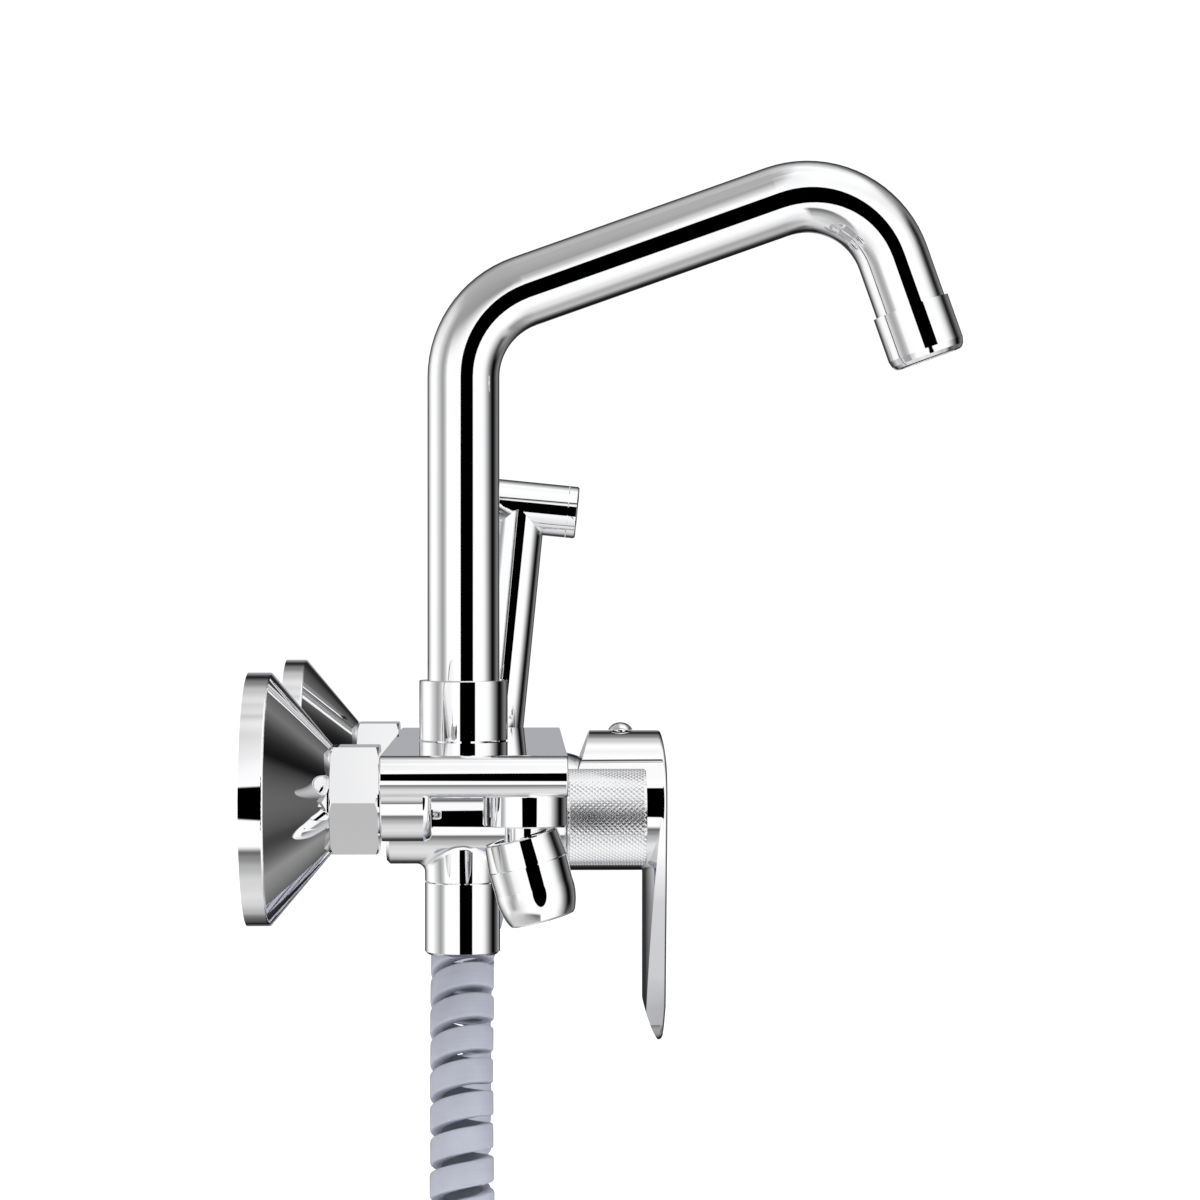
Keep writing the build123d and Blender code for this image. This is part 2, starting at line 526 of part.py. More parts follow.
with BuildPart() as lever:
    add(lever_handle.part)
    add(lever_blade.part)
    front_edges = lever.edges().filter_by(lambda e: e.bounding_box().max.Y < -HUB_FRONT + 3 and e.length > 3)
    fillet(front_edges, 1.4)
    with Locations((LEVER_X, -PIVOT_OUT, VALVE_Z)):
        Sphere(HUB_CAVITY_R, mode=Mode.SUBTRACT)
    ring(LEVER, 100.0, STEM_END, STEM_R, mode=Mode.SUBTRACT)
    rod((LEVER_X, -PLUG_OUT, VALVE_Z), (LEVER_X, -PLUG_OUT, HUB_TOP + 1), 2.5, Mode.SUBTRACT)
write(lever, "lever_handle")

with BuildPart() as lever_grub_screw:
    rod((LEVER_X, -PLUG_OUT, VALVE_Z + STEM_R), (LEVER_X, -PLUG_OUT, VALVE_Z + STEM_R + 9.0), 2.45)
    with BuildSketch(Plane(origin=(LEVER_X, -PLUG_OUT, VALVE_Z + STEM_R + 9.0))):
        RegularPolygon(1.25, 6, major_radius=False)
    extrude(amount=-3.0, mode=Mode.SUBTRACT)
write(lever_grub_screw, "lever_grub_screw")

PLUG_R, PLUG_HIGH = 4.0, 2.6
with BuildPart() as lever_plug:
    with BuildSketch(up_axis(LEVER_X, PLUG_OUT, HUB_TOP)):
        with BuildLine():
            Polyline((0.2, PLUG_R), (0.2, 2.4), (-6.0, 2.4), (-6.0, 0), (PLUG_HIGH, 0))
            ThreePointArc((PLUG_HIGH, 0), (1.9, 2.5), (0.2, PLUG_R))
        make_face()
    revolve(axis=Axis((LEVER_X, -PLUG_OUT, 0), (0, 0, 1)))
write(lever_plug, "lever_plug")

# ---- swivel outlet under the left end ----
SPINDLE_R = 4.5
BALL_TOP, BALL_BOTTOM = BALL_Z + 2.6, BALL_Z - 4.5
STEM_LOW = BALL_TOP + 0.2
with BuildPart() as swivel_stem:
    turn(SWIVEL, [(-4.0, WAY_R), (-4.0, 5.0), (SWIVEL_BOSS_LOW, 5.0), (SWIVEL_BOSS_LOW, SWIVEL_STEM_R),
                  (STEM_LOW, SWIVEL_STEM_R), (STEM_LOW, SPINDLE_R), (BALL_BOTTOM - 2.7, SPINDLE_R),
                  (BALL_BOTTOM - 2.7, WAY_R)])
write(swivel_stem, "swivel_stem")

with BuildPart() as swivel_ball:
    with Locations((-SIDE, -SWIVEL_OUT, BALL_Z)):
        Sphere(BALL_R)
    ring(SWIVEL, BALL_BOTTOM, BALL_TOP, BALL_R + 1, mode=Mode.INTERSECT)
    ring(SWIVEL, BALL_BOTTOM - 1, BALL_TOP + 1, SPINDLE_R + RUN, mode=Mode.SUBTRACT)
write(swivel_ball, "swivel_ball")

with BuildPart() as swivel_clip:
    ring(SWIVEL, BALL_BOTTOM - 2.1, BALL_BOTTOM - GAP, 5.8, SPINDLE_R)
    with Locations((-SIDE, -SWIVEL_OUT - 5.0, BALL_BOTTOM - 1.2)):
        Box(2.4, 4.0, 3.0, mode=Mode.SUBTRACT)
write(swivel_clip, "swivel_clip")

tilt = math.radians(SWIVEL_TILT)
TILTED = Plane(origin=(-SIDE, -SWIVEL_OUT, BALL_Z), x_dir=(0, math.sin(tilt), math.cos(tilt)), z_dir=(1, 0, 0))
TILT_AXIS = Axis(TILTED.origin, TILTED.x_dir)
CUP_R = BALL_R + RUN
LIP = 5.05                      # the lip stands this far above the ball's centre
SEAM = LIP - SWIVEL_SEAM
SHELL_END = LIP - SWIVEL_LENGTH


def cup_at(along):
    """Radius of the spherical seat at a distance along the swivel's axis from the ball's centre."""
    return math.sqrt(CUP_R ** 2 - along ** 2)


with BuildPart() as swivel_ring_nut:
    with BuildSketch(TILTED):
        with BuildLine():
            ThreePointArc((LIP, cup_at(LIP)), (LIP / 2, cup_at(LIP / 2)), (0, CUP_R))
            Polyline((0, CUP_R), (-1.5, CUP_R), (-1.5, 10.2), (SEAM, 10.2), (SEAM, 11.35), (LIP - 0.4, 10.6),
                     (LIP, 10.2), (LIP, cup_at(LIP)))
        make_face()
    revolve(axis=TILT_AXIS)
write(swivel_ring_nut, "swivel_ring_nut")

with BuildPart() as swivel_shell:
    with BuildSketch(TILTED):
        with BuildLine():
            Polyline((-1.7, 9.3), (-1.7, 10.15), (SEAM - GAP, 10.15), (SEAM - GAP, 11.3), (-9.5, 11.15))
            ThreePointArc((-9.5, 11.15), (-16.0, 10.55), (SHELL_END + 0.6, 9.6))
            Polyline((SHELL_END + 0.6, 9.6), (SHELL_END, 9.1), (SHELL_END, 8.3), (-10.5, 8.3), (-9.5, 9.3),
                     (-1.7, 9.3))
        make_face()
    revolve(axis=TILT_AXIS)
write(swivel_shell, "swivel_shell")

with BuildPart() as swivel_seat:
    with BuildSketch(TILTED):
        with BuildLine():
            ThreePointArc((-2.6, cup_at(-2.6)), (-3.6, cup_at(-3.6)), (-4.6, cup_at(-4.6)))
            Polyline((-4.6, cup_at(-4.6)), (-4.6, 9.25), (-2.6, 9.25), (-2.6, cup_at(-2.6)))
        make_face()
    revolve(axis=TILT_AXIS)
write(swivel_seat, "swivel_seat")

with BuildPart() as swivel_aerator_insert:
    ring(TILTED, SHELL_END + 0.9, -11.5, 8.25)
    ring(TILTED, -15.0, -11.5, 7.0, mode=Mode.SUBTRACT)
    with BuildSketch(Plane(origin=TILTED.from_local_coords((SHELL_END + 0.5, 0, 0)), z_dir=TILTED.x_dir)):
        with PolarLocations(4.9, 10):
            Circle(0.8)
        with PolarLocations(2.3, 5):
            Circle(0.8)
    extrude(amount=7.0, mode=Mode.SUBTRACT)
write(swivel_aerator_insert, "swivel_aerator_insert")

# ---- hose outlet ----
NIPPLE_END, WASHER_LOW, FERRULE_STEP = -42.0, -44.0, -45.6
with BuildPart() as outlet_nipple:
    turn(OUTLET, [(NIPPLE_TOP, 3.5), (NIPPLE_TOP, NIPPLE_R), (OUTLET_SEAM, NIPPLE_R), (OUTLET_SEAM, 8.9),
                  (NIPPLE_END, 8.9), (NIPPLE_END, 3.5)])
write(outlet_nipple, "outlet_nipple")

with BuildPart() as hose_nut:
    turn(OUTLET, [(OUTLET_SEAM - GAP, 8.95), (OUTLET_SEAM - GAP, OUTLET_R), (HOSE_TOP + 0.8, OUTLET_R),
                  (HOSE_TOP, OUTLET_R - 0.8), (HOSE_TOP, 7.2), (FERRULE_STEP, 7.2), (FERRULE_STEP, 8.95)])
write(hose_nut, "hose_nut")

with BuildPart() as hose_washer:
    ring(OUTLET, WASHER_LOW, NIPPLE_END, 8.8, 3.5)
write(hose_washer, "hose_washer")

with BuildPart() as hose_ferrule:
    turn(OUTLET, [(WASHER_LOW, 3.0), (WASHER_LOW, 8.8), (FERRULE_STEP, 8.8), (FERRULE_STEP, 7.1),
                  (HOSE_TOP, 7.1), (HOSE_TOP, 3.0)])
write(hose_ferrule, "hose_ferrule")

# ---- spiral hose, as one tube of its outer diameter ----
route = [Vector(*point) for point in HOSE_ROUTE]
bends = []
for before, corner, after in zip(route, route[1:], route[2:]):
    half_turn = math.radians((corner - before).get_angle(after - corner)) / 2
    shorter = min((corner - before).length, (after - corner).length)
    bends.append(0.45 * shorter / math.tan(half_turn))
with BuildPart() as spiral_hose:
    with BuildLine() as hose_path:
        FilletPolyline(*route, radius=bends)
    with BuildSketch(Plane(origin=route[0], z_dir=hose_path.line % 0)):
        Circle(HOSE_R)
    sweep(path=hose_path.line)
write(spiral_hose, "spiral_hose")
hose_length = sum(edge.length for edge in hose_path.line.edges())
print("hose length", round(hose_length, 1), "volume share",
      round(spiral_hose.part.volume / (math.pi * HOSE_R ** 2 * hose_length), 4))
print("hose bend radii", [round(bend) for bend in bends])

# ---- hand spray ----
lean = math.radians(SPRAY_LEAN)
UP = Vector(0, -math.sin(lean), math.cos(lean))
FRONT = Vector(0, -math.cos(lean), -math.sin(lean))
HANDLE = Plane(origin=SPRAY_FOOT, x_dir=UP, z_dir=(1, 0, 0))
HEAD_CENTRE = Vector(*SPRAY_FOOT) + UP * HEAD_UP
HEAD = Plane(origin=HEAD_CENTRE, x_dir=FRONT, z_dir=(1, 0, 0))
FACE_START = HEAD_FRONT - HEAD_SEAM
FACE_R = 7.0                    # thread of the face ring, inside the head
PIN_FRONT, PIN_UP, PIN_R = -17.3, 5.0, 1.25
PLUNGER_TIP = -14.6
REST_COLLAR_R = 9.8             # shoulder of the handle that rests on the holder
HEAD_SIDE = Plane(origin=HEAD_CENTRE, x_dir=FRONT, z_dir=(-1, 0, 0))


def on_head(x, front, up):
    """A point given from the head's centre: to the right, forwards along its axis, and up the handle."""
    return HEAD_CENTRE + Vector(x, 0, 0) + FRONT * front + UP * up


with BuildPart() as spray_body:
    ring(HANDLE, SPRAY_LOW, HEAD_UP, SPRAY_R)
    turn(HANDLE, [(HOLDER_TOP + 0.05, 0), (HOLDER_TOP + 0.05, REST_COLLAR_R), (HOLDER_TOP + 1.0, REST_COLLAR_R),
                  (HOLDER_TOP + 1.8, SPRAY_R), (HOLDER_TOP + 1.8, 0)])
    turn(HEAD, [(-HEAD_BACK, 0), (-HEAD_BACK, HEAD_R - 1.2), (0.5 - HEAD_BACK, HEAD_R - 0.4),
                (1.2 - HEAD_BACK, HEAD_R), (FACE_START - 0.2, HEAD_R), (FACE_START - 0.2, 0)])
    # trigger lugs
    for x in (-4.3, 4.3):
        rod(on_head(x - 1.0, PIN_FRONT, PIN_UP), on_head(x + 1.0, PIN_FRONT, PIN_UP), 2.6)
        with BuildSketch(HEAD_SIDE.offset(-x - 1.0)) as lug:
            with BuildLine():
                Polyline((-11.5, PIN_UP - 2.6), (PIN_FRONT, PIN_UP - 2.6), (PIN_FRONT, PIN_UP + 2.6),
                         (-11.5, PIN_UP + 2.6), close=True)
            make_face()
        extrude(lug.sketch, amount=2.0)
    rod(on_head(-6, PIN_FRONT, PIN_UP), on_head(6, PIN_FRONT, PIN_UP), PIN_R, Mode.SUBTRACT)
    ring(HANDLE, SPRAY_LOW - 1, HEAD_UP - 6.0, SPRAY_R - SPRAY_WALL, mode=Mode.SUBTRACT)
    ring(HEAD, -2.0, FACE_START, FACE_R + RUN, mode=Mode.SUBTRACT)
    ring(HEAD, -HEAD_BACK - 1, 0, 2.0 + RUN, mode=Mode.SUBTRACT)
    ring(HEAD, 1.5 - HEAD_BACK, -2.5, 4.2, mode=Mode.SUBTRACT)
write(spray_body, "spray_body")

with BuildPart() as spray_face_ring:
    turn(HEAD, [(10.0, 6.3), (10.0, FACE_R), (FACE_START, FACE_R), (FACE_START, HEAD_R),
                (HEAD_FRONT - 0.5, HEAD_R), (HEAD_FRONT, HEAD_R - 0.5), (HEAD_FRONT, 6.7),
                (HEAD_FRONT - 0.9, 6.3)])
write(spray_face_ring, "spray_face_ring")

with BuildPart() as spray_face_plate:
    ring(HEAD, 12.0, HEAD_FRONT - 0.9, 6.25)
    ring(HEAD, 12.0, 15.5, 5.4, mode=Mode.SUBTRACT)
    with BuildSketch(Plane(origin=on_head(0, HEAD_FRONT, 0), x_dir=(1, 0, 0), z_dir=FRONT)):
        for circle_r, holes in ((4.8, 12), (3.0, 8), (1.2, 4)):
            with PolarLocations(circle_r, holes):
                Circle(0.4)
    extrude(amount=-4.6, mode=Mode.SUBTRACT)
write(spray_face_plate, "spray_face_plate")

with BuildPart() as spray_plunger:
    turn(HEAD, [(PLUNGER_TIP, 0), (PLUNGER_TIP, 1.4), (PLUNGER_TIP + 0.6, 2.0), (1.5, 2.0), (1.5, 4.6),
                (3.5, 4.6), (3.5, 2.0), (6.0, 2.0), (6.0, 0)])
write(spray_plunger, "spray_plunger")

with BuildPart() as spray_valve_washer:
    ring(HEAD, 0.2, 1.5, 4.6, 2.0)
write(spray_valve_washer, "spray_valve_washer")

SPRING_WIRE, SPRING_TURNS = 0.35, 4
with BuildPart() as spray_spring:
    with BuildLine() as coil:
        Helix(pitch=1.45, height=1.45 * SPRING_TURNS, radius=3.2, center=on_head(0, 4.85, 0), direction=FRONT)
    with BuildSketch(Plane(origin=coil.line @ 0, z_dir=coil.line % 0)):
        Circle(SPRING_WIRE)
    sweep(path=coil.line)
write(spray_spring, "spray_spring")

with BuildPart() as trigger_pin:
    rod(on_head(-5.6, PIN_FRONT, PIN_UP), on_head(5.6, PIN_FRONT, PIN_UP), PIN_R)
write(trigger_pin, "trigger_pin")

with BuildPart() as spray_trigger:
    with BuildSketch(HEAD_SIDE):
        with BuildLine():
            Polyline((-15.4, 5.0), (-15.4, 1.7), (-14.9, 1.3), (-14.9, -1.3), (-15.4, -1.7), (-16.3, -11.0),
                     (-19.5, -50.0), (-22.0, -49.6), (-18.9, -11.0), (-18.6, 5.0), close=True)
        make_face()
        with Locations((PIN_FRONT, PIN_UP)):
            Circle(2.3)
    extrude(amount=3.1, both=True)
    with BuildSketch(HEAD_SIDE):
        with BuildLine():
            Polyline((-16.7, -15.5), (-19.5, -50.0), (-22.0, -49.6), (-19.2, -15.5), close=True)
        make_face()
    extrude(amount=5.5, both=True)
    rod(on_head(-7, PIN_FRONT, PIN_UP), on_head(7, PIN_FRONT, PIN_UP), PIN_R + RUN, Mode.SUBTRACT)
write(spray_trigger, "spray_trigger")

with BuildPart() as spray_hose_nut:
    turn(HANDLE, [(SPRAY_LOW - 0.2, 5.0), (SPRAY_LOW - 0.2, SPRAY_R - 0.1), (SPRAY_LOW - 7.0, SPRAY_R - 0.1),
                  (SPRAY_END, SPRAY_R - 1.1), (SPRAY_END, 5.0)])
write(spray_hose_nut, "spray_hose_nut")

with BuildPart() as spray_ferrule:
    turn(HANDLE, [(SPRAY_END, 2.5), (SPRAY_END, 4.9), (SPRAY_LOW, 4.9),
                  (SPRAY_LOW, SPRAY_R - SPRAY_WALL - RUN), (SPRAY_LOW + 12.0, SPRAY_R - SPRAY_WALL - RUN),
                  (SPRAY_LOW + 12.0, 2.5)])
write(spray_ferrule, "spray_ferrule")

# ---- spray holder on the right end of the body ----
CLIP_R, CLIP_WALL = SPRAY_R + 0.1, 1.75
PLATE_START, PLATE_END = SLAB_HALF + 0.2, SLAB_HALF + 2.6
with BuildPart() as spray_holder:
    ring(HANDLE, HOLDER_LOW, HOLDER_TOP, CLIP_R + CLIP_WALL)
    with BuildSketch(Plane(origin=(PLATE_START, 0, WAY_Z), x_dir=(0, -1, 0), z_dir=(1, 0, 0))):
        with Locations((sum(HOLDER_SCREWS) / 2, 1.8)):
            RectangleRounded(HOLDER_SCREWS[1] - HOLDER_SCREWS[0] + 8.0, 8.6, 3.0)
    extrude(amount=PLATE_END - PLATE_START)
    ring(HANDLE, HOLDER_LOW - 4, HOLDER_TOP + 4, CLIP_R, mode=Mode.SUBTRACT)
    with BuildSketch(Plane(origin=SPRAY_FOOT, x_dir=(1, 0, 0), z_dir=UP)) as mouth:
        with Locations((0, -12.0)):
            Rectangle(11.0, 20.0)
    extrude(mouth.sketch, amount=30, both=True, mode=Mode.SUBTRACT)
    for out in HOLDER_SCREWS:
        rod((PLATE_START - 1, -out, WAY_Z), (PLATE_END + 1, -out, WAY_Z), 2.1, Mode.SUBTRACT)
write(spray_holder, "spray_holder")

with BuildPart() as holder_screws:
    for out in HOLDER_SCREWS:
        turn(Plane(origin=(PLATE_END, -out, WAY_Z), x_dir=(1, 0, 0), z_dir=(0, 0, 1)),
             [(-11.0, 0), (-11.0, 1.65), (0, 1.65), (0, 3.4), (0.9, 3.3), (1.7, 2.4), (2.1, 0)])
write(holder_screws, "holder_screws")
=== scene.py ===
import json
import math

import bmesh
import bpy
from mathutils import Matrix, Vector


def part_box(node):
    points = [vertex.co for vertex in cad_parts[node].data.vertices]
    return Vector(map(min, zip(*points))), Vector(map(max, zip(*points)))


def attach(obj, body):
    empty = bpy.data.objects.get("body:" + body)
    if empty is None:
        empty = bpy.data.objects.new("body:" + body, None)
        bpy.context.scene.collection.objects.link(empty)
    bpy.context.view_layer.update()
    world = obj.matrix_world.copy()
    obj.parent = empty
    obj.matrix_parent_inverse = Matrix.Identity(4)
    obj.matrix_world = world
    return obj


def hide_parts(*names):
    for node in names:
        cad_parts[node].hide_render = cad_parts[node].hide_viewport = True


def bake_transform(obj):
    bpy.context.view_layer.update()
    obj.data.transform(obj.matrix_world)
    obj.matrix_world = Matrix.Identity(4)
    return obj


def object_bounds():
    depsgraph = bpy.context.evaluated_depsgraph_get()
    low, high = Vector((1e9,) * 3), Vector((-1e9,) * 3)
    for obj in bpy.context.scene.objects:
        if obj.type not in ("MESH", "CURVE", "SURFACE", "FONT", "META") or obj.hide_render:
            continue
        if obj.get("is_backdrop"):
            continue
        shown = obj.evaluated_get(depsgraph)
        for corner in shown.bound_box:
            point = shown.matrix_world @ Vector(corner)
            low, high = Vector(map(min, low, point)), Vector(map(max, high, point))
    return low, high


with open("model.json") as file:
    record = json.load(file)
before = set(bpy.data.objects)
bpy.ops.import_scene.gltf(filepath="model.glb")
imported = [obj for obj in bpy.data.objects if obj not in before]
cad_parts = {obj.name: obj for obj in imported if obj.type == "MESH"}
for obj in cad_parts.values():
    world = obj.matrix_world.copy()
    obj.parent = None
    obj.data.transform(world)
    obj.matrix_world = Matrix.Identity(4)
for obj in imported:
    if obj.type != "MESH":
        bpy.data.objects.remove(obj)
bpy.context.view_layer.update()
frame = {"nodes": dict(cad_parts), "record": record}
MM = 0.001


# ---- camera ----
# It stands level with the slab, on the left of the mixer, and looks along the wall.
CAMERA_PLACE = Vector((-0.974, -0.0759, 0.0610))
CAMERA_YAW = math.radians(1.48)          # towards the spout's tip
CAMERA_DIP = math.radians(0.31)
CAMERA_LENS = 95.46
CAMERA_SENSOR = 36.0
CAMERA_CLIP = (0.05, 50.0)


def add_camera():
    data = bpy.data.cameras.new("camera")
    data.lens = CAMERA_LENS
    data.sensor_width = CAMERA_SENSOR
    data.clip_start, data.clip_end = CAMERA_CLIP
    camera = bpy.data.objects.new("camera", data)
    bpy.context.scene.collection.objects.link(camera)
    camera.location = CAMERA_PLACE
    level = math.cos(CAMERA_DIP)
    look = Vector((math.cos(CAMERA_YAW) * level, -math.sin(CAMERA_YAW) * level, -math.sin(CAMERA_DIP)))
    camera.rotation_euler = look.to_track_quat("-Z", "Y").to_euler()
    bpy.context.scene.camera = camera


add_camera()


# ---- mesh helpers ----
def mesh_object(name, bm):
    """Turns a bmesh into a scene object with outward faces."""
    bmesh.ops.recalc_face_normals(bm, faces=bm.faces)
    mesh = bpy.data.meshes.new(name)
    bm.to_mesh(mesh)
    bm.free()
    made = bpy.data.objects.new(name, mesh)
    bpy.context.scene.collection.objects.link(made)
    return made


def join_rings(bm, rings):
    """Quads between each closed ring of vertices and the next."""
    count = len(rings[0])
    for near, far in zip(rings, rings[1:]):
        for i in range(count):
            j = (i + 1) % count
            bm.faces.new((near[i], near[j], far[j], far[i]))


# ---- spiral hose ----
HOSE_ROUTE = [
    (0, -59, -52.3), (-4.6, -59, -60), (-12, -59, -73), (-19.4, -59, -89), (-25.6, -59.2, -107),
    (-30.6, -59.4, -128), (-32, -58.8, -160), (-10, -57.9, -190), (26.8, -57.6, -207.2),
    (61.2, -57.4, -207.2), (91, -57.3, -190), (108.2, -57.3, -160.2), (108.2, -57.2, -125.8),
    (106.5, -57.2, -97), (104.4, -57.3, -76), (103.4, -59.6, -59), (103, -62.9, -45), (103, -64.63, -31.98),
]
HOSE_R = 9.5 * MM
HOSE_PITCH = 9.8 * MM
BAND_HEIGHT = 7.6 * MM
BAND_THICK = 4.1 * MM
BAND_CORNER = 0.8 * MM
BAND_CORNER_ANGLES = (0, 30, 60, 90)
STEPS_PER_TURN = 36
HOSE_PHASE = math.radians(-40)
HOSE_FULLNESS = 1.012                    # the band's size against the tube it replaces
HOSE_WOBBLES = ((0.012, 0.37), (0.008, 1.13))    # unevenness of the winding: share and pace
END_TURNS = 1.5                          # wound past each end, then cut off square there
END_REACH = 2.2 * HOSE_R
SPLINE_STEPS = 16


def spline_points(route):
    """The points along a smooth NURBS spline through a route in millimetres."""
    curve = bpy.data.curves.new("route", "CURVE")
    curve.dimensions = "3D"
    curve.resolution_u = SPLINE_STEPS
    spline = curve.splines.new("NURBS")
    spline.points.add(len(route) - 1)
    for point, (x, y, z) in zip(spline.points, route):
        point.co = (x * MM, y * MM, z * MM, 1)
    spline.order_u = 3
    spline.use_endpoint_u = True
    holder = bpy.data.objects.new("route", curve)
    bpy.context.scene.collection.objects.link(holder)
    line = bpy.data.meshes.new_from_object(holder)
    points = [v.co.copy() for v in line.vertices]
    bpy.data.objects.remove(holder)
    bpy.data.curves.remove(curve)
    bpy.data.meshes.remove(line)
    return points


def even_frames(points, step):
    """Points a step apart along the line, each with its tangent and two normals that don't twist."""
    spots, gone, travelled = [points[0]], 0.0, step
    for a, b in zip(points, points[1:]):
        length = (b - a).length
        while travelled <= gone + length:
            spots.append(a.lerp(b, (travelled - gone) / length))
            travelled += step
        gone += length
    frames = []
    side = None
    for i, spot in enumerate(spots):
        tangent = (spots[min(i + 1, len(spots) - 1)] - spots[max(i - 1, 0)]).normalized()
        if side is None:
            side = tangent.cross(Vector((0, 1, 0))).normalized()
        side = (side - tangent * side.dot(tangent)).normalized()
        frames.append((spot, tangent, side, tangent.cross(side)))
    return frames


def band_outline():
    """The band's section as (outwards, along) offsets from its middle: a flat bar with round corners."""
    half_height = BAND_HEIGHT / 2 - BAND_CORNER
    half_thick = BAND_THICK / 2 - BAND_CORNER
    outline = []
    for quarter, (out, along) in enumerate(((1, 1), (-1, 1), (-1, -1), (1, -1))):
        for turned in BAND_CORNER_ANGLES:
            angle = math.radians(90 * quarter + turned)
            outline.append((out * half_thick + BAND_CORNER * math.cos(angle),
                            along * half_height + BAND_CORNER * math.sin(angle)))
    return outline


def spiral_hose():
    """A flat band wound right-handed along the hose's line and cut off square at both fittings."""
    line = spline_points(HOSE_ROUTE)
    first, last = line[0], line[-1]
    out_first, out_last = (first - line[1]).normalized(), (last - line[-2]).normalized()
    longer = [first + out_first * HOSE_PITCH * END_TURNS, *line, last + out_last * HOSE_PITCH * END_TURNS]
    frames = even_frames(longer, HOSE_PITCH / STEPS_PER_TURN)
    outline = band_outline()
    bm = bmesh.new()
    uv = bm.loops.layers.uv.new("along_band")
    rings = []
    for i, (spot, tangent, side, other) in enumerate(frames):
        turn = i / STEPS_PER_TURN * math.tau + HOSE_PHASE
        wobble = sum((share * math.sin(pace * turn / math.pi) for share, pace in HOSE_WOBBLES), 1)
        radial = side * math.cos(turn) + other * math.sin(turn)
        middle = (HOSE_R - BAND_THICK / 2) * (HOSE_FULLNESS * wobble)
        rings.append([bm.verts.new(spot + radial * (middle + out) + tangent * along)
                      for out, along in outline])
    count = len(outline)
    for i, (near, far) in enumerate(zip(rings, rings[1:])):
        for j in range(count):
            k = (j + 1) % count
            face = bm.faces.new((near[j], near[k], far[k], far[j]))
            for loop, (u, v) in zip(face.loops, ((i, j), (i, j + 1), (i + 1, j + 1), (i + 1, j))):
                loop[uv].uv = (u / STEPS_PER_TURN, v / count)
    bm.faces.new(rings[0])
    bm.faces.new(list(reversed(rings[-1])))
    for at, away in ((first, out_first), (last, out_last)):
        ends = [v for v in bm.verts if (v.co - at).length < END_REACH]
        near = set(ends)
        patch = ends + [part for part in bm.edges[:] + bm.faces[:] if near.issuperset(part.verts)]
        cut = bmesh.ops.bisect_plane(bm, geom=patch, plane_co=at, plane_no=away, clear_outer=True)
        edges = [e for e in cut["geom_cut"] if isinstance(e, bmesh.types.BMEdge)]
        bmesh.ops.holes_fill(bm, edges=edges, sides=0)
    for face in bm.faces:
        face.smooth = len(face.verts) <= 4
    hose = mesh_object("hose_band", bm)
    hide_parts("spiral_hose")
    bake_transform(hose)
    return hose


hose_band = spiral_hose()


# ---- knurled knob ----
KNURLS = 58                              # diamonds around the knob
KNURL_PITCH = 1.78 * MM                  # along its axis
KNURL_DEPTH = 0.36 * MM
KNURL_FLAT = 0.34                        # share of a diamond left flat on top
SKIRT_WALL = 2.3 * MM                    # the knob's hollow back
SKIRT_DEPTH = 6.0 * MM
FACE_RIM = 2.2 * MM                      # a narrow rim round the knob's recessed face
FACE_BEVEL = 1.0 * MM
FACE_RECESS = 0.5 * MM
CAP_GAP = 0.05 * MM                      # between the face and its cap
CAP_LEDGE = (0.8 * MM, 0.1 * MM)         # width, and depth below the rim
CAP_SEAT = 2.0 * MM


def knurled_knob():
    """The diverter's knob, with a diamond knurl cut into it, as one closed shell round the spindle."""
    low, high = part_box("diverter_knob")
    axis_x, axis_z = (low.x + high.x) / 2, (low.z + high.z) / 2
    radius, length = (high.z - low.z) / 2, high.y - low.y
    count = 2 * KNURLS
    rows = 2 * round(length / KNURL_PITCH)
    bm = bmesh.new()

    def spot(i, along, r):
        angle = math.tau * i / count
        return bm.verts.new((axis_x + r * math.cos(angle), high.y - along, axis_z + r * math.sin(angle)))

    valley = radius - KNURL_DEPTH
    step = length / rows
    grid = [[spot(i, k * step, valley) if (i + k) % 2 == 0 or k in (0, rows) else None for i in range(count)]
            for k in range(rows + 1)]
    for k in range(rows + 1):
        for i in range((k + 1) % 2, count, 2):
            before, after = grid[k][i - 1], grid[k][(i + 1) % count]
            if k in (0, rows):
                inner = grid[1 if k == 0 else rows - 1][i]
                bm.faces.new((before, grid[k][i], inner))
                bm.faces.new((grid[k][i], after, inner))
                continue
            base = (before, grid[k - 1][i], after, grid[k + 1][i])
            top = [spot(i + di * KNURL_FLAT, (k + dk * KNURL_FLAT) * step, radius)
                   for di, dk in ((-1, 0), (0, -1), (1, 0), (0, 1))]
            bm.faces.new(top)
            for m in range(4):
                n = (m + 1) % 4
                bm.faces.new((base[m], base[n], top[n], top[m]))
    cap_low, cap_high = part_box("knob_cap")
    cap_r = (cap_high.z - cap_low.z) / 2 + CAP_GAP
    skirt_r = radius - SKIRT_WALL
    face = length - FACE_RECESS
    ledge_width, ledge_depth = CAP_LEDGE
    profiles = (
        (grid[0], [(0, skirt_r), (SKIRT_DEPTH, skirt_r)]),
        (grid[-1], [(length, radius - FACE_RIM), (face, radius - FACE_RIM - FACE_BEVEL),
                    (face, cap_r + ledge_width), (length - ledge_depth, cap_r), (length - CAP_SEAT, cap_r)]),
    )
    for rim, outline in profiles:
        rings = [rim] + [[spot(i, along, r) for i in range(count)] for along, r in outline]
        join_rings(bm, rings)
        bm.faces.new(rings[-1])
    knob = mesh_object("knurled_knob", bm)
    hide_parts("diverter_knob")
    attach(knob, "knob")
    return knob


knurled = knurled_knob()


# ---- materials ----
NOISE_ROUGHNESS = 0.55


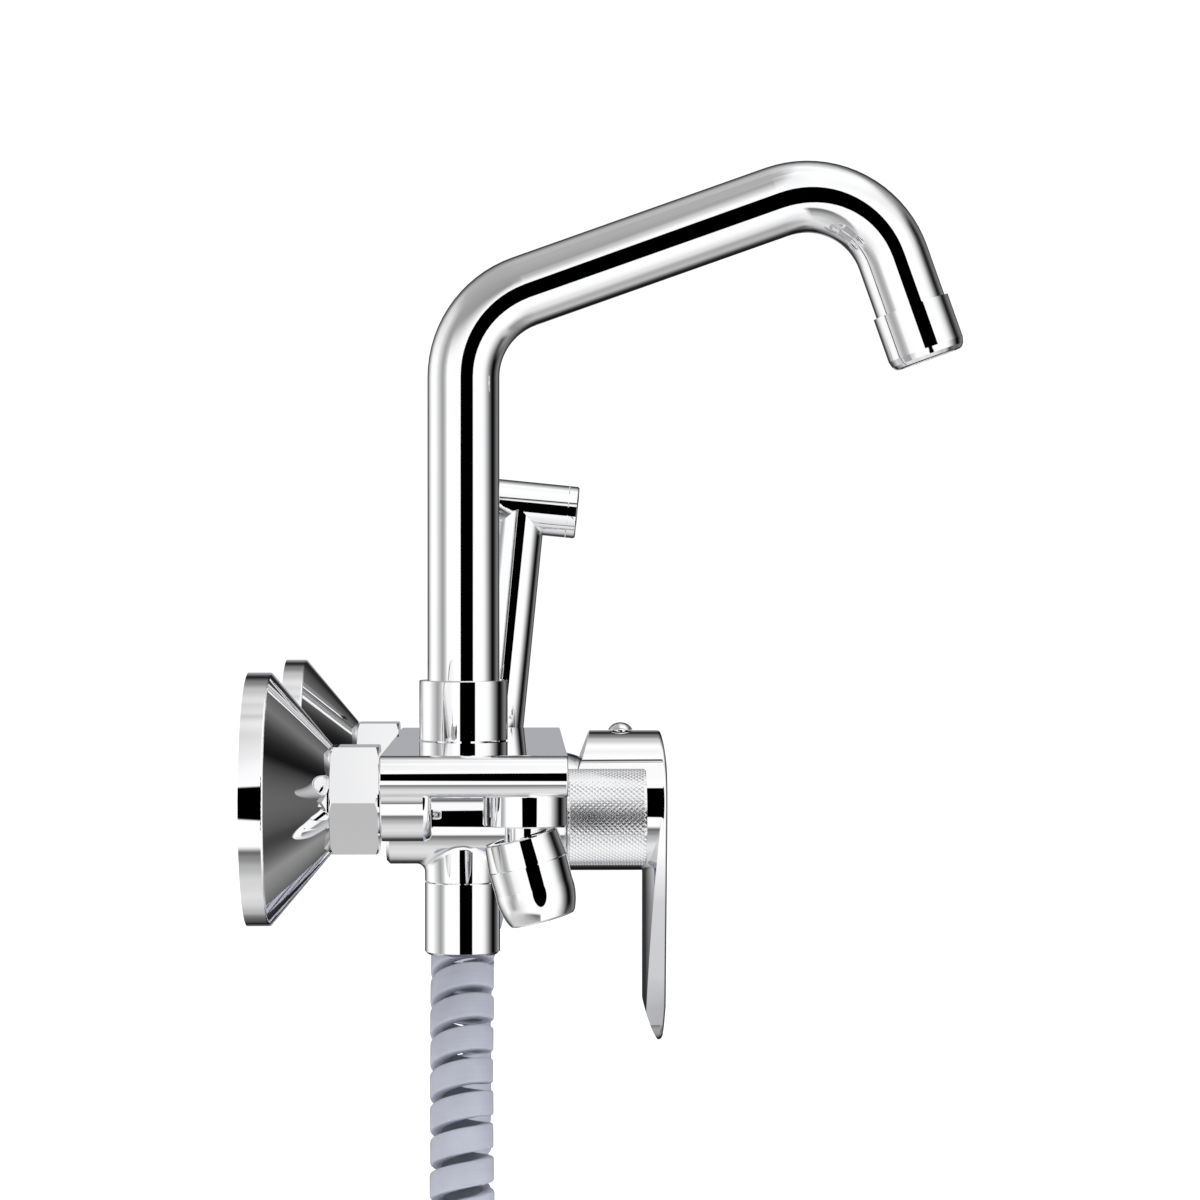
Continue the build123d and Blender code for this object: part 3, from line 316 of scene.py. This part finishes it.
class Recipe:
    """Builds one node material step by step."""

    def __init__(self, name, **sockets):
        self.material = bpy.data.materials.new(name)
        self.material.use_nodes = True
        self.tree = self.material.node_tree
        self.shader = self.tree.nodes["Principled BSDF"]
        for socket, value in sockets.items():
            self.shader.inputs[socket.replace("_", " ")].default_value = value
        self.place = self.tree.nodes.new("ShaderNodeTexCoord").outputs["Object"]

    def link(self, a, b):
        self.tree.links.new(a, b)

    def noise(self, scale, detail, stretch=None, place=None):
        node = self.tree.nodes.new("ShaderNodeTexNoise")
        node.inputs["Scale"].default_value = scale
        node.inputs["Detail"].default_value = detail
        node.inputs["Roughness"].default_value = NOISE_ROUGHNESS
        source = place or self.place
        if stretch:
            mapping = self.tree.nodes.new("ShaderNodeMapping")
            mapping.inputs["Scale"].default_value = stretch
            self.link(source, mapping.inputs["Vector"])
            source = mapping.outputs["Vector"]
        self.link(source, node.inputs["Vector"])
        return node.outputs["Fac"]

    def ramp(self, factor, stops):
        node = self.tree.nodes.new("ShaderNodeValToRGB")
        elements = node.color_ramp.elements
        while len(elements) < len(stops):
            elements.new(0.5)
        for element, (position, value) in zip(elements, stops):
            element.position = position
            shade = value if isinstance(value, tuple) else (value, value, value)
            element.color = (*shade, 1)
        self.link(factor, node.inputs["Fac"])
        return node.outputs["Color"]

    def span(self, factor, low, high, start=0.3, end=0.7):
        """Carries start to end over to low to high."""
        node = self.tree.nodes.new("ShaderNodeMapRange")
        for socket, value in (("From Min", start), ("From Max", end), ("To Min", low), ("To Max", high)):
            node.inputs[socket].default_value = value
        self.link(factor, node.inputs["Value"])
        return node.outputs["Result"]

    def math(self, operation, a, b):
        node = self.tree.nodes.new("ShaderNodeMath")
        node.operation = operation
        for socket, value in zip(node.inputs, (a, b)):
            if isinstance(value, (int, float)):
                socket.default_value = value
            else:
                self.link(value, socket)
        return node.outputs["Value"]

    def colour(self, output):
        self.link(output, self.shader.inputs["Base Color"])

    def rough(self, output):
        self.link(output, self.shader.inputs["Roughness"])

    def bump(self, height, strength, distance):
        node = self.tree.nodes.new("ShaderNodeBump")
        node.inputs["Strength"].default_value = strength
        node.inputs["Distance"].default_value = distance
        self.link(height, node.inputs["Height"])
        self.link(node.outputs["Normal"], self.shader.inputs["Normal"])


def polished_chrome(name="polished_chrome", rough=(0.012, 0.035)):
    """Bright plated chrome: a trace of smudging, hairline wipe marks and a plating that isn't quite flat."""
    r = Recipe(name, Metallic=1.0)
    smudge = r.noise(38, 4)
    wipe = r.noise(160, 2, stretch=(1.0, 1.0, 9.0))
    r.colour(r.ramp(smudge, [(0.3, (0.955, 0.955, 0.965)), (0.7, (0.925, 0.928, 0.940))]))
    r.rough(r.math("ADD", r.span(smudge, *rough, 0.45, 0.8), r.span(wipe, 0.0, 0.008, 0.5, 0.75)))
    r.bump(r.math("ADD", r.noise(24, 1), r.math("MULTIPLY", wipe, 0.02)), 0.1, 0.00001)
    return r.material


BLADE_SHADE_HEIGHTS = (-0.026, -0.078)          # where the painted shade down the lever starts, and its blade's tip


def blade_shaded_chrome():
    """The lever's chrome: bright at the hub, with painted shade darkening its colour down the blade, broken
    up by noise.
    """
    r = Recipe("blade_shaded_chrome", Metallic=1.0)
    smudge = r.noise(38, 4)
    parts = r.tree.nodes.new("ShaderNodeSeparateXYZ")
    r.link(r.place, parts.inputs[0])
    # painted shade: the base colour darkens from the hub down the blade, standing in for the darker
    # reflection there
    blade_shade = r.span(parts.outputs["Z"], 0.0, 1.0, *BLADE_SHADE_HEIGHTS)
    painted_shade = r.math("MULTIPLY", blade_shade, r.span(smudge, 0.85, 1.0))
    r.colour(r.ramp(painted_shade, [(0.0, (0.945, 0.945, 0.955)), (0.3, (0.600, 0.603, 0.622)),
                           (0.7, (0.560, 0.563, 0.580)), (1.0, (0.330, 0.333, 0.345))]))
    r.rough(r.math("ADD", r.span(smudge, 0.012, 0.035, 0.45, 0.8), r.math("MULTIPLY", painted_shade, 0.02)))
    r.bump(r.noise(24, 1), 0.1, 0.00001)
    return r.material


def raw_brass():
    """Turned brass: golden, with fine tool marks around and a duller cast in patches."""
    r = Recipe("raw_brass", Metallic=1.0)
    patch = r.noise(60, 3)
    turned = r.noise(900, 2, stretch=(0.05, 1.0, 1.0))
    r.colour(r.ramp(patch, [(0.3, (0.86, 0.64, 0.30)), (0.7, (0.70, 0.49, 0.21))]))
    r.rough(r.span(patch, 0.20, 0.38))
    r.bump(turned, 0.3, 0.00005)
    return r.material


def stainless_steel():
    """Drawn steel: neutral grey with fine lengthwise lines."""
    r = Recipe("stainless_steel", Metallic=1.0)
    lines = r.noise(700, 2, stretch=(1.0, 0.06, 1.0))
    r.colour(r.ramp(lines, [(0.3, (0.66, 0.66, 0.67)), (0.7, (0.52, 0.52, 0.54))]))
    r.rough(r.span(lines, 0.16, 0.32))
    r.bump(lines, 0.25, 0.00004)
    return r.material


def seal_rubber():
    """Black nitrile rubber with a dusty bloom."""
    r = Recipe("seal_rubber", Specular_IOR_Level=0.3)
    bloom = r.noise(120, 4)
    r.colour(r.ramp(bloom, [(0.35, (0.014, 0.014, 0.015)), (0.75, (0.045, 0.045, 0.047))]))
    r.rough(r.span(bloom, 0.55, 0.8))
    r.bump(r.noise(1800, 2), 0.3, 0.00005)
    return r.material


def valve_plastic():
    """Off-white moulded plastic with a fine spark-eroded grain."""
    r = Recipe("valve_plastic", Subsurface_Weight=0.05)
    cloud = r.noise(45, 3)
    grain = r.noise(1500, 2)
    r.colour(r.ramp(cloud, [(0.3, (0.80, 0.80, 0.77)), (0.7, (0.70, 0.70, 0.68))]))
    r.rough(r.span(grain, 0.32, 0.48))
    r.bump(grain, 0.35, 0.00005)
    return r.material


def valve_ceramic():
    """Lapped alumina: white, smooth and faintly mottled."""
    r = Recipe("valve_ceramic", Coat_Weight=0.3)
    mottle = r.noise(300, 3)
    r.colour(r.ramp(mottle, [(0.3, (0.90, 0.88, 0.84)), (0.7, (0.82, 0.80, 0.77))]))
    r.rough(r.span(mottle, 0.12, 0.24))
    r.bump(mottle, 0.1, 0.00003)
    return r.material


def hose_vinyl():
    """Cool grey vinyl band: soft sheen and faint drawing lines along it."""
    r = Recipe("hose_vinyl", Subsurface_Weight=0.12, Subsurface_Scale=0.002, Specular_IOR_Level=0.42)
    r.shader.inputs["Subsurface Radius"].default_value = (0.8, 0.8, 1.0)
    cloud = r.noise(70, 4)
    along = r.tree.nodes.new("ShaderNodeUVMap")
    along.uv_map = "along_band"
    drawn = r.noise(6, 3, stretch=(0.35, 34.0, 1.0), place=along.outputs["UV"])
    tone = r.math("ADD", r.math("MULTIPLY", cloud, 0.7), r.math("MULTIPLY", drawn, 0.3))
    r.colour(r.ramp(tone, [(0.32, (0.365, 0.378, 0.446)), (0.68, (0.444, 0.458, 0.530))]))
    r.rough(r.span(r.noise(260, 3), 0.34, 0.50))
    r.bump(r.math("ADD", r.noise(900, 2), r.math("MULTIPLY", drawn, 0.8)), 0.22, 0.00008)
    return r.material


KNURL_ROUGHNESS = (0.19, 0.27)
MATERIALS = {
    "polished_chrome": polished_chrome(),
    "raw_brass": raw_brass(),
    "stainless_steel": stainless_steel(),
    "seal_rubber": seal_rubber(),
    "valve_plastic": valve_plastic(),
    "valve_ceramic": valve_ceramic(),
    "hose_vinyl": hose_vinyl(),
}
OWN_FINISH = {"lever_handle": blade_shaded_chrome()}


def dress_nodes():
    """Gives each CAD node its own finish, or the material of its slot in the record."""
    for entry in frame["record"]["subparts"]:
        mesh = frame["nodes"][entry["node"]].data
        mesh.materials.clear()
        mesh.materials.append(OWN_FINISH.get(entry["node"]) or MATERIALS[entry["material_slot"]])


dress_nodes()
hose_band.data.materials.append(MATERIALS["hose_vinyl"])
knurled.data.materials.append(polished_chrome("knurled_chrome", KNURL_ROUGHNESS))


# ---- studio ----
# Rows of brightness round the horizon, in degrees from the camera's side towards the front of the mixer.
LAVENDER = (0.383, 0.386, 0.410)
ROUND_ROWS = {
    -90: [(-180, 0.74), (180, 0.74)],
    -75: [(-180, 0.62), (-130, 0.74), (-60, 0.60), (0, 0.70), (30, 0.85), (70, 0.60), (105, 0.45),
        (137, 0.60), (180, 0.62)],
    -60: [(-180, 0.40), (-130, 0.70), (-60, 0.50), (-8, 0.46), (8, 0.46), (16, 0.90), (60, 0.75),
        (90, 0.35), (137, 0.50), (158, 0.12), (180, 0.36)],
    -50: [(-180, 0.10), (-130, 0.66), (-60, 0.50), (-8, 0.25), (8, 0.25), (14, 1.00), (62, 0.90),
        (90, 0.30), (137, 0.35), (158, 0.10), (180, 0.10)],
    -45: [(-180, 0.04), (-130, 0.62), (-60, 0.56), (-8, 0.15), (8, 0.15), (14, 1.00), (62, 1.00),
        (90, 0.30), (137, 0.25), (158, 0.04), (180, 0.04)],
    -38: [(-180, 0.01), (-130, 0.58), (-60, 0.72), (-30, 1.00), (62, 1.00), (80, 0.65), (110, 0.35),
        (137, 0.18), (158, 0.02), (180, 0.01)],
    -30: [(-180, 0.005), (-150, 0.05), (-130, 0.55), (-110, 1.00), (-78, 0.32), (-50, 0.80), (-30, 1.00),
        (62, 1.00), (80, 0.58), (92, 0.25), (100, 0.06), (108, 0.15), (116, 0.28), (130, 0.20), (142, 0.13),
        (155, 0.03), (165, 0.005), (180, 0.005)],
    0: [(-180, LAVENDER), (-175, LAVENDER), (-170, 0.03), (-156, 0.05), (-147, 0.25), (-139, 0.48),
        (-130, 0.80), (-120, 1.00), (-100, 1.00), (-90, 0.76), (-80, 0.53), (-70, 0.33), (-60, 0.53),
        (-52, 1.00), (62, 1.00), (72, 0.88), (80, 0.57), (90, 0.25), (96, 0.12), (103, 0.01), (112, 0.00),
        (120, 0.04), (130, 0.14), (140, 0.20), (150, 0.11), (160, 0.02), (171, 0.02), (175, LAVENDER),
        (180, LAVENDER)],
    30: [(-180, 0.01), (-165, 0.03), (-145, 0.22), (-125, 0.70), (-100, 0.80), (-70, 0.34), (-14, 0.30),
        (-5, 1.00), (60, 1.00), (78, 0.70), (92, 0.20), (104, 0.006), (116, 0.053), (130, 0.18),
        (150, 0.07), (165, 0.02), (180, 0.01)],
    45: [(-180, 0.20), (-150, 0.30), (-120, 0.45), (-60, 0.36), (-18, 0.34), (-5, 0.90), (10, 1.00),
        (78, 0.85), (110, 0.40), (150, 0.20), (180, 0.20)],
    60: [(-180, 0.58), (-150, 0.46), (-120, 0.42), (-20, 0.38), (-4, 0.90), (10, 1.00), (110, 1.00),
        (150, 0.60), (180, 0.58)],
    78: [(-180, 1.00), (-150, 0.62), (-110, 0.42), (-40, 0.44), (-10, 1.00), (110, 1.00), (180, 1.00)],
    90: [(-180, 0.90), (180, 0.90)],
}
HORIZON_STRIP = 8                        # the horizon's row joins its neighbours outside this height
BLACK_CARD = (11.5, 20.0, 26.0)          # an oval: its middle, half width and half height, in degrees
CARD_EDGE = (1.05, 0.95)
STUDIO_WHITE = 1.06


class World:
    """The node graph of the studio's surroundings."""

    def __init__(self):
        self.world = bpy.data.worlds.new("studio")
        bpy.context.scene.world = self.world
        self.world.use_nodes = True
        self.tree = self.world.node_tree
        self.tree.nodes.clear()

    def node(self, kind, **settings):
        made = self.tree.nodes.new(kind)
        for name, value in settings.items():
            setattr(made, name, value)
        return made

    def math(self, operation, *values):
        node = self.node("ShaderNodeMath", operation=operation)
        for socket, value in zip(node.inputs, values):
            if isinstance(value, (int, float)):
                socket.default_value = value
            else:
                self.tree.links.new(value, socket)
        return node.outputs["Value"]

    def row(self, turn, stops):
        node = self.node("ShaderNodeValToRGB")
        elements = node.color_ramp.elements
        while len(elements) < len(stops):
            elements.new(0.5)
        for element, (degrees, value) in zip(elements, stops):
            element.position = (degrees + 180) / 360
            element.color = (*(value if isinstance(value, tuple) else (value, value, value)), 1)
        self.tree.links.new(turn, node.inputs["Fac"])
        return node.outputs["Color"]

    def mix(self, factor, a, b):
        node = self.node("ShaderNodeMix", data_type="RGBA")
        self.tree.links.new(factor, node.inputs[0])
        for socket, value in ((node.inputs[6], a), (node.inputs[7], b)):
            if isinstance(value, tuple):
                socket.default_value = value
            else:
                self.tree.links.new(value, socket)
        return node.outputs[2]

    def step(self, value, low, high):
        node = self.node("ShaderNodeMapRange", interpolation_type="SMOOTHSTEP")
        node.inputs["From Min"].default_value = low
        node.inputs["From Max"].default_value = high
        self.tree.links.new(value, node.inputs["Value"])
        return node.outputs["Result"]


def studio_world():
    """A white studio with the rows of light as the chrome sees them, and a black card beside the camera."""
    w = World()
    direction = w.node("ShaderNodeTexCoord").outputs["Generated"]
    parts = w.node("ShaderNodeSeparateXYZ")
    w.tree.links.new(direction, parts.inputs[0])
    x, y, z = (parts.outputs[i] for i in range(3))
    azimuth = w.math("MULTIPLY", w.math("ARCTAN2", w.math("MULTIPLY", y, -1.0), w.math("MULTIPLY", x, -1.0)),
                     180 / math.pi)
    height = w.math("MULTIPLY", w.math("ARCSINE", z), 180 / math.pi)
    turn = w.math("DIVIDE", w.math("ADD", azimuth, 180.0), 360.0)
    levels = sorted(ROUND_ROWS)
    light = w.row(turn, ROUND_ROWS[levels[0]])
    for low, high in zip(levels, levels[1:]):
        start = HORIZON_STRIP if low == 0 else low
        end = -HORIZON_STRIP if high == 0 else high
        light = w.mix(w.step(height, start, end), light, w.row(turn, ROUND_ROWS[high]))
    middle, half_width, half_height = BLACK_CARD
    across = w.math("DIVIDE", w.math("SUBTRACT", azimuth, middle), half_width)
    up = w.math("DIVIDE", height, half_height)
    reach = w.math("ADD", w.math("MULTIPLY", across, across), w.math("MULTIPLY", up, up))
    light = w.mix(w.step(reach, *CARD_EDGE), light, (0.0, 0.0, 0.0, 1))
    seen = w.node("ShaderNodeLightPath").outputs["Is Camera Ray"]
    background = w.node("ShaderNodeBackground")
    background.inputs["Strength"].default_value = STUDIO_WHITE
    w.tree.links.new(w.mix(seen, light, (1.0, 1.0, 1.0, 1)), background.inputs["Color"])
    out = w.node("ShaderNodeOutputWorld")
    w.tree.links.new(background.outputs[0], out.inputs["Surface"])


studio_world()


FLOOR_DROP = 0.012
FLOOR_HALF = 5.0
FLOOR_GLOW = 0.62


def studio_floor():
    """A plain pale floor a little below the hose's loop. The chrome mirrors the studio, not the floor."""
    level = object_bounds()[0].z - FLOOR_DROP
    place = Matrix.Translation((0, 0, level))
    bm = bmesh.new()
    bmesh.ops.create_grid(bm, x_segments=24, y_segments=24, size=FLOOR_HALF, matrix=place)
    floor = mesh_object("studio_floor", bm)
    r = Recipe("pale_floor", Roughness=0.9, Specular_IOR_Level=0.1, Emission_Strength=FLOOR_GLOW)
    r.shader.inputs["Emission Color"].default_value = (1, 1, 1, 1)
    r.colour(r.ramp(r.noise(3.0, 3), [(0.3, (0.93, 0.93, 0.935)), (0.7, (0.955, 0.955, 0.96))]))
    floor.data.materials.append(r.material)
    floor.visible_glossy = False
    floor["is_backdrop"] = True


studio_floor()


def soft_light(name, place, target, size, power):
    """A large soft panel that lights the object but doesn't show in the chrome."""
    data = bpy.data.lights.new(name, "AREA")
    data.shape = "DISK"
    data.size = size
    data.energy = power
    lamp = bpy.data.objects.new(name, data)
    bpy.context.scene.collection.objects.link(lamp)
    lamp.location = place
    lamp.rotation_euler = (Vector(target) - Vector(place)).to_track_quat("-Z", "Y").to_euler()
    lamp.visible_glossy = False


soft_light("key_panel", (-1.1, -1.0, 1.6), (0, -0.08, 0.0), 1.4, 16.0)
soft_light("fill_panel", (-1.4, 0.9, 0.5), (0, -0.08, -0.05), 1.2, 6.0)
bpy.context.scene.view_settings.view_transform = "Standard"
